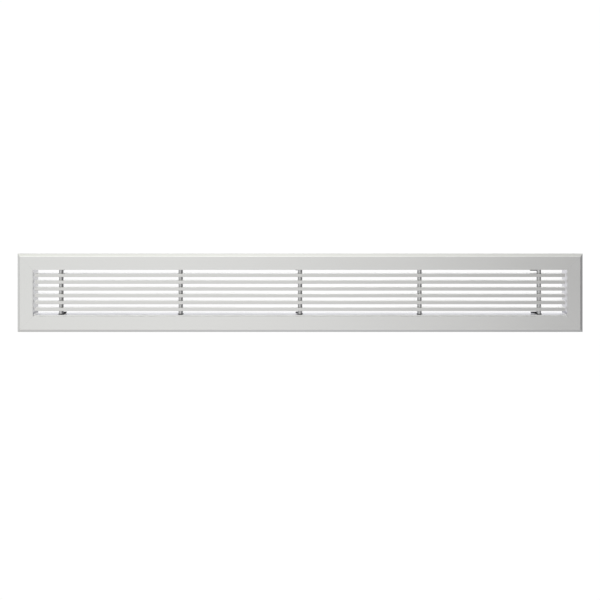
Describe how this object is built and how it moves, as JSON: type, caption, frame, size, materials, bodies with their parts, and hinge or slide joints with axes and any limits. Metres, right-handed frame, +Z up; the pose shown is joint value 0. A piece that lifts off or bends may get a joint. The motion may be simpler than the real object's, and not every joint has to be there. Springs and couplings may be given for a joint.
{
  "type": "linear grille",
  "caption": "Long, low air grille: mitred aluminium frame with a raised bevelled flange and a rear neck, around a core of fixed horizontal bars on cross rods.",
  "frame": {"origin": "centre of the wall plane, which the rim behind the flange touches", "axes": "+X along the grille, +Y into the wall, +Z up; the front looks towards -Y"},
  "size_m": [1.04, 0.032, 0.1444],
  "materials": {
    "frame": "satin natural anodised",
    "blade": "satin natural anodised",
    "rail": "satin natural anodised",
    "spacer": "mill finish",
    "rod": "mill finish",
    "corner_key": "zinc plated",
    "clip": "black spring steel, semi-matt"
  },
  "bodies": {
    "root": {"frame_top": "frame", "frame_bottom": "frame", "frame_left": "frame", "frame_right": "frame", "corner_key_top_left": "corner_key", "corner_key_top_right": "corner_key", "corner_key_bottom_left": "corner_key", "corner_key_bottom_right": "corner_key", "core_rail_top": "rail", "core_rail_bottom": "rail", "blade_1": "blade", "blade_2": "blade", "blade_3": "blade", "blade_4": "blade", "blade_5": "blade", "blade_6": "blade", "cross_rod_1": "rod", "cross_rod_2": "rod", "cross_rod_3": "rod", "cross_rod_4": "rod", "cross_rod_5": "rod", "spacers_1": "spacer", "spacers_2": "spacer", "spacers_3": "spacer", "spacers_4": "spacer", "spacers_5": "spacer", "core_clip_top_left": "clip", "core_clip_top_middle": "clip", "core_clip_top_right": "clip", "core_clip_bottom_left": "clip", "core_clip_bottom_middle": "clip", "core_clip_bottom_right": "clip", "rod_washers": "clip"}
  },
  "joints": []
}
